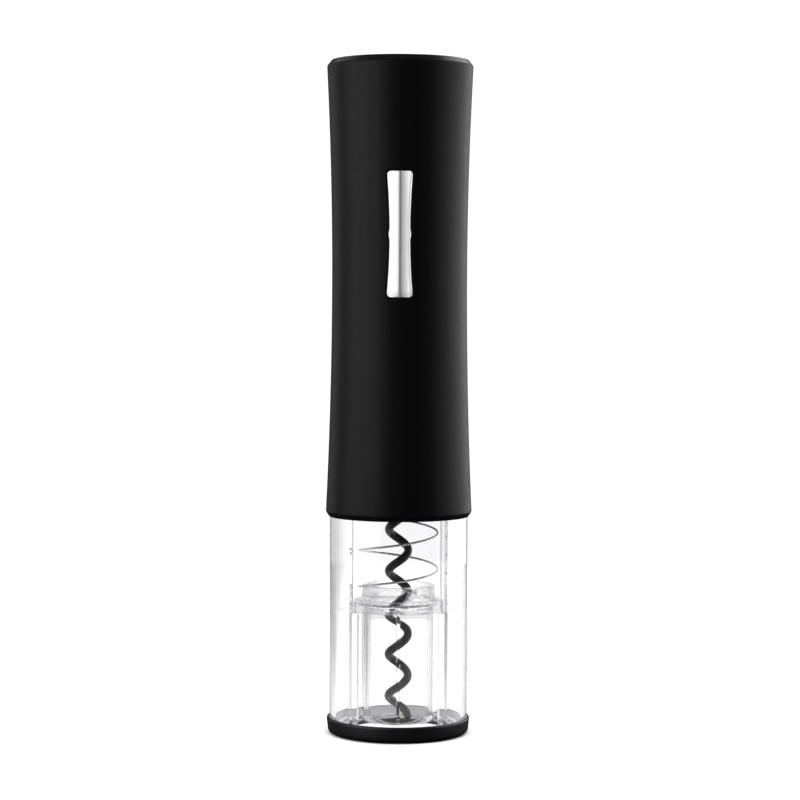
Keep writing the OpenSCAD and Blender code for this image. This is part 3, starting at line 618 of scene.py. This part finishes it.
def body_skin(skin, heights, drop, slot_grow):
    """Body surface as a grid with a patch of rings that runs into the rocker's slot."""
    rows = patch_rows()

    def point(k, z):
        a = FRONT + TURN * k / BODY_COLUMNS
        r = body_radius(z) - drop
        return (r * math.cos(a), r * math.sin(a), z)

    for z0, z1 in zip(heights, heights[1:]):
        if z1 <= rows[0] + 1e-9 or z0 >= rows[-1] - 1e-9:
            lower = ring(body_radius(z0) - drop, z0, BODY_ANGLES)
            skin.strip(lower, ring(body_radius(z1) - drop, z1, BODY_ANGLES))
            continue
        around = range(PATCH_COLUMNS, BODY_COLUMNS - PATCH_COLUMNS + 1)
        skin.strip([point(k, z0) for k in around], [point(k, z1) for k in around], closed=False)
    p = PATCH_COLUMNS
    frame_loop = [point(k, rows[0]) for k in range(-p, p)]
    frame_loop += [point(p, z) for z in rows[:-1]]
    frame_loop += [point(k, rows[-1]) for k in range(p, -p, -1)]
    frame_loop += [point(-p, z) for z in reversed(rows[1:])]
    slot_loop = [on_body(x, z + ROCKER_Z, drop) for x, z in rocker_loop(slot_grow, 2 * p, PATCH_ROWS)]
    loops = []
    steps = 9
    for i in range(steps + 1):
        t = (i / steps) ** 1.5
        loops.append([
            on_body(s[0] + (f[0] - s[0]) * t, s[2] + (f[2] - s[2]) * t, drop)
            for s, f in zip(slot_loop, frame_loop)
        ])
    skin.loft(loops)


def make_body():
    """Waisted shell with the rocker's slot in front and a ledge above the clear shell."""
    skin = Skin()
    rows = patch_rows()
    seam_lip = 0.22 * MM
    edge_top = BODY_Z + BODY_BEVEL + BODY_ROUND
    heights = spread(edge_top, rows[0], 34) + rows[:-1] + spread(rows[-1], SEAM_Z - seam_lip, 14)
    heights.append(SEAM_Z - seam_lip)
    body_skin(skin, heights, 0.0, ROCKER_GAP + SLOT_LIP)

    # slot wall, from its rounded lip to the inner face
    slot_loops = []
    for degrees in (0, 22, 45, 68, 90):
        a = math.radians(degrees)
        grow = ROCKER_GAP + SLOT_LIP * (1 - math.sin(a))
        drop = SLOT_LIP * (1 - math.cos(a))
        outline = rocker_loop(grow, 2 * PATCH_COLUMNS, PATCH_ROWS)
        slot_loops.append([on_body(x, z + ROCKER_Z, drop) for x, z in outline])
    outline = rocker_loop(ROCKER_GAP, 2 * PATCH_COLUMNS, PATCH_ROWS)
    slot_loops.append([on_body(x, z + ROCKER_Z, WALL) for x, z in outline])
    skin.loft(slot_loops)

    # inner face, from the ledge to the seam
    rim_low = SEAM_Z - 0.2 * MM
    inner = spread(LEDGE_TOP, rows[0], 10) + rows[:-1] + spread(rows[-1], rim_low, 6)
    inner.append(rim_low)
    body_skin(skin, inner, WALL, ROCKER_GAP)

    # top rim
    rim = arc(body_radius(SEAM_Z - seam_lip) - seam_lip, SEAM_Z - seam_lip, seam_lip, 0, 90, 3)
    rim += [(body_radius(SEAM_Z) - WALL, SEAM_Z), (body_radius(rim_low) - WALL, rim_low)]
    skin.loft([ring(r, z, BODY_ANGLES) for r, z in rim])

    # rounded bottom edge, socket and ledge
    socket_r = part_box("clear_shell")[1].x + 0.15 * MM
    corner = Vector((BOTTOM_R, BODY_Z + BODY_BEVEL))
    above = Vector((body_radius(edge_top), edge_top))
    below = Vector((BOTTOM_R - BODY_BEVEL_IN, BODY_Z))
    down = corner.lerp(below, 0.25)
    edge = [above.lerp(corner, t).lerp(corner.lerp(down, t), t) for t in (0, 0.2, 0.4, 0.6, 0.8, 1)]
    edge = [(p.x, p.y) for p in edge] + [tuple(below + Vector((0.02 * MM, 0.06 * MM)))]
    edge += [(below.x - 0.04 * MM, BODY_Z), (socket_r + 0.04 * MM, BODY_Z), (socket_r, BODY_Z + 0.05 * MM)]
    edge += [(socket_r, LEDGE_LOW), (LEDGE_BORE, LEDGE_LOW), (LEDGE_BORE, LEDGE_TOP)]
    edge += [(body_radius(LEDGE_TOP) - WALL, LEDGE_TOP)]
    skin.loft([ring(r, z, BODY_ANGLES) for r, z in edge])
    skin.build("body", "housing", "soft_black", ["body_shell"])


def make_cover():
    """Flat cap with a sloped edge, and the skirt that goes down inside the body."""
    low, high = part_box("battery_cover")
    seam = SEAM_Z + 0.06 * MM
    top = high.z
    skirt_in = 22 * MM
    skirt_out = 23.3 * MM
    edge_round = 0.42 * MM
    profile = [(0.0, seam), (skirt_in, seam), (skirt_in, low.z), (skirt_out, low.z)]
    profile += [(skirt_out, seam), (TOP_R - 0.22 * MM, seam), (TOP_R - 0.13 * MM, seam + 0.12 * MM)]
    profile += [(TOP_R - 0.2 * MM, seam + 0.25 * MM)]
    profile += arc(TOP_R - 1.85 * MM, top - edge_round, edge_round, 35, 90, 6)
    profile += [(20 * MM, top), (0.0, top)]
    skin = Skin()
    angles = even_angles(ROUND_STEPS)
    skin.loft([ring(r, z, angles) for r, z in profile])
    skin.build("cover", "cover", "cover_black", ["battery_cover"], sharp=40)


make_body()
make_cover()


# ---------------------------------------------------------------- rocker

ROCKER_PROUD = 1.38 * MM
RIDGE_BLEND = 0.3 * MM
FACET_R = 20.2 * MM
FACET_X = 5.9 * MM
ROCKER_BACK = -22.4 * MM
ROCKER_FALL = 0.35 * MM       # how far the face falls off towards its ends
ROCKER_FALL_REACH = 4 * MM


def rocker_face(x, z):
    """Front face of the rocker: two gently bowed flanks that meet in a ridge."""
    crest = body_radius(z + ROCKER_Z) + ROCKER_PROUD
    across = math.sqrt(x * x + RIDGE_BLEND ** 2) - RIDGE_BLEND
    fall = math.sqrt(FACET_R ** 2 - FACET_X ** 2) - math.sqrt(FACET_R ** 2 - (FACET_X + across) ** 2)
    ends = max(0.0, abs(z) - (ROCKER_HALF - ROCKER_FALL_REACH)) / ROCKER_FALL_REACH
    return -(crest - fall - ROCKER_FALL * ends ** 3)


def make_rocker():
    """Face with a ridge, rounded edges and a flat back, and a card that lights only this piece."""
    across, along = 26, 90
    lip = 0.55 * MM
    skin = Skin()
    face_loop = rocker_loop(-lip, across, along)
    lower = face_loop[:across + 1]
    right = face_loop[across:across + along + 1]
    upper = face_loop[across + along:2 * across + along + 1][::-1]
    left = (face_loop[2 * across + along:] + face_loop[:1])[::-1]

    # face, as a grid blended from its four sides
    rows = []
    for j in range(along + 1):
        t = j / along
        row = []
        for i in range(across + 1):
            s = i / across
            point = []
            for c in (0, 1):
                edges = (1 - t) * lower[i][c] + t * upper[i][c] + (1 - s) * left[j][c] + s * right[j][c]
                corners = (1 - t) * ((1 - s) * lower[0][c] + s * lower[-1][c])
                corners += t * ((1 - s) * upper[0][c] + s * upper[-1][c])
                point.append(edges - corners)
            x, z = point
            row.append((x, rocker_face(x, z), z + ROCKER_Z))
        rows.append(row)
    skin.loft(rows, closed=False)

    # rounded edge and side walls
    loops = []
    for degrees in (0, 18, 36, 54, 72, 90):
        a = math.radians(degrees)
        outline = rocker_loop(-lip * (1 - math.sin(a)), across, along)
        drop = lip * (1 - math.cos(a))
        loops.append([
            (x, rocker_face(fx, fz) + drop, z + ROCKER_Z)
            for (x, z), (fx, fz) in zip(outline, face_loop)
        ])
    outline = rocker_loop(0.0, across, along)
    loops.append([(x, ROCKER_BACK, z + ROCKER_Z) for x, z in outline])
    skin.loft(loops)

    # flat back
    flat = [[(p[0], ROCKER_BACK, p[2]) for p in row] for row in rows]
    skin.loft(flat, closed=False)
    rim = [(x, ROCKER_BACK, z + ROCKER_Z) for x, z in face_loop]
    skin.strip(rim, loops[-1])
    rocker = skin.build("rocker_cap", "rocker", "satin_silver", ["button_rocker"], sharp=45)
    light_only(area_light("rocker_card", 66, 5, 0.9, 0.6, 1.2, 3.8), rocker)


make_rocker()


# ---------------------------------------------------------------- foot ring and clear shell

RIB_ANGLES = [math.radians(a) for a in (45, 135, 225, 315)]
shell_low, shell_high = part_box("clear_shell")
foot_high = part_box("base_ring")[1]
SHELL_R = shell_high.x
SHELL_IN = SHELL_R - 2 * MM
FOOT_R = foot_high.x
FOOT_H = foot_high.z
BOTTLE_R = 16.5 * MM
FOOT_BORE_R = 20 * MM
SHELL_Z = shell_low.z
FLANGE_TOP = 3.7 * MM
RIB_TOP = 44.95 * MM
RIB_END = 80 * MM
LOW_RIB_R = 20.2 * MM
LOW_RIB_HALF = 1 * MM
HIGH_RIB_R = 21.9 * MM
HIGH_RIB_HALF = 0.9 * MM


def make_foot():
    """Black foot ring, and a pale sheet of painted light that shows through the clear shell standing in it,
    in place of the light the clear plastic scatters there.
    """
    wall = SHELL_R + 0.07 * MM
    ledge = SHELL_Z - 0.03 * MM
    film = 0.08 * MM
    low_round = 2.1 * MM
    high_round = 0.8 * MM
    profile = [(FOOT_BORE_R + 0.5 * MM, 0.0)]
    profile += arc(FOOT_R - 2.45 * MM, low_round, low_round, -90, 0, 12)
    profile += arc(FOOT_R - high_round, FOOT_H - high_round, high_round, 0, 90, 8)
    profile += [(wall + 2 * film, FOOT_H), (wall + film, FOOT_H - film)]
    profile += [(wall + film, ledge - film), (FOOT_BORE_R + 2 * film, ledge - film)]
    profile += [(FOOT_BORE_R, ledge - 3 * film), (FOOT_BORE_R, 0.5 * MM)]
    turned("foot", profile, "lower_shell", "black_plastic", ["base_ring"])
    # pale sheet on the foot's inner faces: painted light, not a real part, standing in for the light
    # scattered through the clear plastic
    profile = [(wall + film, FOOT_H - 3 * film), (wall, FOOT_H - 4 * film), (wall, ledge)]
    profile += [(FOOT_BORE_R + 3 * film, ledge), (FOOT_BORE_R + 2 * film, ledge - film)]
    profile += [(wall + film, ledge - film)]
    painted_sheet = turned("foot_painted_light", profile, "lower_shell", "nylon", ["base_ring"])
    # its pale grey colour is painted light
    painted_sheet.data.materials.clear()
    painted_sheet.data.materials.append(plastic("painted_scatter_light", (0.85, 0.85, 0.88), 0.6))


def shell_inner(radius, z, angle):
    """Inner wall with four ribs: deep below the guide's stop, shallow and rounded above it."""
    if abs(radius - SHELL_IN) > ON_FACE or not FLANGE_TOP + 0.05 * MM < z < RIB_END:
        return radius
    for centre in RIB_ANGLES:
        beside = abs(off_axis(angle, centre)) * radius
        if z < RIB_TOP and beside < LOW_RIB_HALF:
            return LOW_RIB_R
        if beside < HIGH_RIB_HALF:
            return radius - (radius - HIGH_RIB_R) * math.cos(beside / HIGH_RIB_HALF * math.pi / 2) ** 2
    return radius


def make_clear_shell():
    """Clear tube with its floor flange and ribs, with an edge just above and below each step."""
    top = shell_high.z
    near = 0.02 * MM
    profile = [(BOTTLE_R + 0.2 * MM, SHELL_Z), (SHELL_R - 0.2 * MM, SHELL_Z), (SHELL_R, SHELL_Z + 0.2 * MM)]
    profile += [(SHELL_R, z * MM) for z in range(8, 87, 6)]
    profile += [(SHELL_R, top - 0.3 * MM), (SHELL_R - 0.3 * MM, top), (SHELL_IN + 0.3 * MM, top)]
    profile += [(SHELL_IN, top - 0.3 * MM), (SHELL_IN, RIB_END + near), (SHELL_IN, RIB_END - near)]
    profile += [(SHELL_IN, z * MM) for z in range(74, 48, -6)]
    profile += [(SHELL_IN, RIB_TOP + near), (SHELL_IN, RIB_TOP - near)]
    profile += [(SHELL_IN, z * MM) for z in range(40, 6, -6)]
    profile += [(SHELL_IN, FLANGE_TOP + 0.3 * MM), (SHELL_IN - 0.3 * MM, FLANGE_TOP)]
    profile += [(BOTTLE_R + 0.3 * MM, FLANGE_TOP), (BOTTLE_R, FLANGE_TOP - 0.3 * MM)]
    profile += [(BOTTLE_R, SHELL_Z + 0.2 * MM)]
    halves = [LOW_RIB_HALF / SHELL_IN]
    halves += [HIGH_RIB_HALF * k / 6 / SHELL_IN for k in range(1, 7)]
    angles = with_edges(ROUND_STEPS, RIB_ANGLES, halves)
    turned("shell", profile, "lower_shell", "clear_plastic", ["clear_shell"], angles, shell_inner)


make_foot()
make_clear_shell()


# ---------------------------------------------------------------- cork guide

guide_low, guide_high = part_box("cork_guide")
GUIDE_BORE = 11.1 * MM
GUIDE_TUBE = 12.4 * MM
DISC_Z = 45 * MM
DISC_TOP = 46.4 * MM
DISC_R = guide_high.x
NOTCH_HALF = 0.9 * MM
NOTCH_R = HIGH_RIB_R - 0.3 * MM
CUP_IN = 14.6 * MM
CUP_OUT = 15.3 * MM
CUP_H = 2.1 * MM
FIN_R = 14.6 * MM
FIN_HALF = 0.6 * MM
GRIP_R = 8.9 * MM
GRIP_HALF = 0.6 * MM
GRIP_LEAD_Z = 6.4 * MM        # the grip ribs begin here and slope inwards as they go up
GRIP_LEAD_R = 10.2 * MM
GRIP_LEAD_SLOPE = 0.4
GRIP_TAPER_Z = 34 * MM
GRIP_END_Z = 46 * MM
FIN_ANGLES = [0.0, math.pi]
GRIP_ANGLES = [math.pi / 2, 3 * math.pi / 2]


def guide_shape(radius, z, angle):
    """Adds the disc's notches, the outer fins and the inner grip ribs to the turned guide."""
    if abs(radius - DISC_R) < 0.35 * MM:
        for centre in RIB_ANGLES:
            if abs(off_axis(angle, centre)) * DISC_R < NOTCH_HALF:
                return NOTCH_R
    if abs(radius - GUIDE_TUBE) < ON_FACE and guide_low.z + 3 * MM < z < DISC_Z - 0.3 * MM:
        for centre in FIN_ANGLES:
            if abs(off_axis(angle, centre)) * GUIDE_TUBE < FIN_HALF:
                return FIN_R
    if abs(radius - GUIDE_BORE) < ON_FACE and z < GRIP_END_Z:
        for centre in GRIP_ANGLES:
            if abs(off_axis(angle, centre)) * GUIDE_BORE < GRIP_HALF:
                if z > GRIP_TAPER_Z:
                    taper = (z - GRIP_TAPER_Z) / (GRIP_END_Z - GRIP_TAPER_Z)
                    return GRIP_R + (GUIDE_BORE - GRIP_R) * taper
                return max(GRIP_R, GRIP_LEAD_R - GRIP_LEAD_SLOPE * (z - GRIP_LEAD_Z))
    return radius


def make_guide():
    """Tube with a flared mouth, then the disc, the spring's cup and the collar above it."""
    z0 = guide_low.z
    top = guide_high.z
    collar = GUIDE_TUBE + 0.7 * MM
    profile = [(GUIDE_BORE + 0.6 * MM, z0), (GUIDE_TUBE + 0.35 * MM, z0)]
    profile += [(GUIDE_TUBE + 0.46 * MM, z0 + 0.2 * MM)]
    profile += [(GUIDE_TUBE + 0.12 * MM, z0 + 1.8 * MM), (GUIDE_TUBE, z0 + 2.6 * MM)]
    profile += [(GUIDE_TUBE, z * MM) for z in (7.7, 10, 16, 22, 28, 34, 40, 44.65)]
    profile += [(GUIDE_TUBE + 0.02 * MM, DISC_Z - 0.3 * MM), (GUIDE_TUBE + 0.3 * MM, DISC_Z)]
    profile += [(DISC_R - 0.3 * MM, DISC_Z), (DISC_R, DISC_Z + 0.3 * MM), (DISC_R, DISC_TOP - 0.3 * MM)]
    cup_top = DISC_TOP + CUP_H
    profile += [(DISC_R - 0.3 * MM, DISC_TOP), (CUP_OUT + 0.3 * MM, DISC_TOP)]
    profile += [(CUP_OUT, DISC_TOP + 0.3 * MM)]
    profile += [(CUP_OUT, cup_top - 0.2 * MM), (CUP_OUT - 0.2 * MM, cup_top)]
    profile += [(CUP_IN + 0.2 * MM, cup_top), (CUP_IN, cup_top - 0.2 * MM), (CUP_IN, DISC_TOP)]
    profile += [(collar + 0.2 * MM, DISC_TOP), (collar, DISC_TOP + 0.2 * MM)]
    profile += [(collar, top - 0.6 * MM), (collar - 0.2 * MM, top - 0.2 * MM), (collar - 0.6 * MM, top)]
    profile += [(GUIDE_BORE + 0.15 * MM, top), (GUIDE_BORE, top - 0.15 * MM), (GUIDE_BORE, 46.1 * MM)]
    profile += [(GUIDE_BORE, z * MM) for z in (45.9, 43, 40, 37, 34, 28, 22, 16, 10, 8.6, 7.3)]
    profile += [(GUIDE_BORE + 0.08 * MM, z0 + 1.9 * MM), (GUIDE_BORE + 0.42 * MM, z0 + 0.3 * MM)]
    angles = with_edges(ROUND_STEPS, RIB_ANGLES, [NOTCH_HALF / DISC_R])
    angles += with_edges(4, FIN_ANGLES, [FIN_HALF / GUIDE_TUBE])
    angles += with_edges(4, GRIP_ANGLES, [GRIP_HALF / GUIDE_BORE])
    angles = sorted(set(angles))
    turned("guide", profile, "guide", "guide_plastic", ["cork_guide"], angles, guide_shape)


make_guide()


# ---------------------------------------------------------------- worm and spring

WIRE_STEPS = 420


def swept(name, path, radii, sides, body, slot, replaced):
    """Round wire along a path, with closed ends."""
    skin = Skin()
    points = [Vector(p) for p in path]
    loops = []
    side = None
    for i, (point, radius) in enumerate(zip(points, radii)):
        along = (points[min(i + 1, len(points) - 1)] - points[max(i - 1, 0)]).normalized()
        if side is None:
            side = along.cross(Vector((0, 0, 1))).normalized()
        side = (side - along * side.dot(along)).normalized()
        other = along.cross(side)
        loops.append([
            point + radius * (math.cos(TURN * k / sides) * side + math.sin(TURN * k / sides) * other)
            for k in range(sides)
        ])
    skin.loft(loops)
    for loop, centre in ((loops[0], points[0]), (loops[-1], points[-1])):
        skin.strip(loop, [centre] * sides)
    return skin.build(name, body, slot, replaced, sharp=50)


WORM_PITCH = 15 * MM
WORM_R = 3.45 * MM
WORM_WIRE = 1.5 * MM
WORM_PHASE_Z = 13.15 * MM
WORM_BLEND_Z = 75.5 * MM
WORM_STRAIGHT_Z = 83.5 * MM
WORM_TIP = 1.3 * MM
worm_low, worm_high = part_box("worm")


def ease(x):
    """Smooth step from 0 to 1."""
    x = max(0.0, min(1.0, x))
    return x * x * (3 - 2 * x)


def make_worm():
    """Helix that starts at the ground tip and runs into the straight shank."""
    low = worm_low.z + 0.05 * MM
    path = []
    radii = []
    for i in range(WIRE_STEPS + 1):
        z = low + (WORM_STRAIGHT_Z - worm_low.z) * i / WIRE_STEPS
        angle = math.pi + TURN * (z - WORM_PHASE_Z) / WORM_PITCH
        r = WORM_R * (1 - ease((z - WORM_BLEND_Z) / (WORM_STRAIGHT_Z - WORM_BLEND_Z)))
        path.append((r * math.cos(angle), r * math.sin(angle), z))
        sharpness = min(1.0, (z - worm_low.z) / WORM_TIP)
        radii.append(WORM_WIRE * (0.5 + 0.5 * sharpness ** 0.75))
    path.append((0, 0, worm_high.z))
    radii.append(WORM_WIRE)
    swept("worm_wire", path, radii, 20, "worm_drive", "coated_worm", ["worm"])


SPRING_PITCH = 13 * MM
SPRING_R = 14.05 * MM
SPRING_WIRE = 0.4 * MM
SPRING_LOW_TURN = -0.938
SPRING_END_TURNS = 0.91
SPRING_BLEND = 0.08
spring_low, spring_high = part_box("guide_spring")


def soft_ramp(x):
    """0 below 0 and x above it, with a soft corner."""
    return SPRING_BLEND * math.log1p(math.exp(x / SPRING_BLEND))


def make_spring():
    """Open coils between two closed ends."""
    low = spring_low.z + SPRING_WIRE
    high = spring_high.z - SPRING_WIRE
    high_turn = SPRING_LOW_TURN + (high - low) / SPRING_PITCH
    start = SPRING_LOW_TURN - SPRING_END_TURNS
    turns = high_turn + SPRING_END_TURNS - start
    path = []
    for i in range(WIRE_STEPS + 1):
        u = start + turns * i / WIRE_STEPS
        z = low + SPRING_PITCH * (soft_ramp(u - SPRING_LOW_TURN) - soft_ramp(u - high_turn))
        path.append((SPRING_R * math.cos(TURN * u), SPRING_R * math.sin(TURN * u), z))
    radii = [SPRING_WIRE] * len(path)
    spring = swept("spring_wire", path, radii, 14, "lower_shell", "spring_steel", ["guide_spring"])
    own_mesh(spring)


make_worm()
make_spring()


# ---------------------------------------------------------------- floor

def floor_material():
    """White board to the eye, dim in the object's reflections, like the surroundings."""
    material = new_material("floor_white", (0.95, 0.95, 0.95), 0.7)
    vary_roughness(material, noise(material, 20), 0.65, 0.75)
    tree = material.node_tree
    dim = tree.nodes.new("ShaderNodeBsdfDiffuse")
    dim.inputs["Color"].default_value = (0.03, 0.03, 0.03, 1)
    mix = tree.nodes.new("ShaderNodeMixShader")
    place = axes(tree)
    behind = map_range(tree, place["Y"], (-0.2, 0.02), (0.1, 0.75))
    sight = seen_directly(tree, behind)
    sight = math_node(tree, "MULTIPLY", sight, left_falloff(tree, place["X"], (-0.14, -0.05)))
    tree.links.new(sight, mix.inputs[0])
    tree.links.new(dim.outputs[0], mix.inputs[1])
    tree.links.new(tree.nodes["Principled BSDF"].outputs[0], mix.inputs[2])
    tree.links.new(mix.outputs[0], tree.nodes["Material Output"].inputs["Surface"])
    return material


def make_floor():
    """Round white table top that fades into the white surroundings."""
    radius = 0.55
    mesh = bpy.data.meshes.new("floor")
    angles = even_angles(96)
    rim = [(radius * math.cos(a), radius * math.sin(a), 0) for a in angles]
    mesh.from_pydata(rim, [], [list(range(len(rim)))])
    material = floor_material()
    mesh.materials.append(material)
    floor = bpy.data.objects.new("floor", mesh)
    bpy.context.scene.collection.objects.link(floor)
    overhead = area_light("overhead_box", 0, 89, 1.2, 1.2, 1.2, 21, aim_z=0)
    # the overhead lamp also lights the foot's pale sheet of painted light
    light_only(overhead, floor, bpy.data.objects["foot_painted_light"])
    blocking = bpy.data.collections.new("contact_shadow")
    blocking.objects.link(bpy.data.objects["foot"])
    overhead.light_linking.blocker_collection = blocking


make_floor()
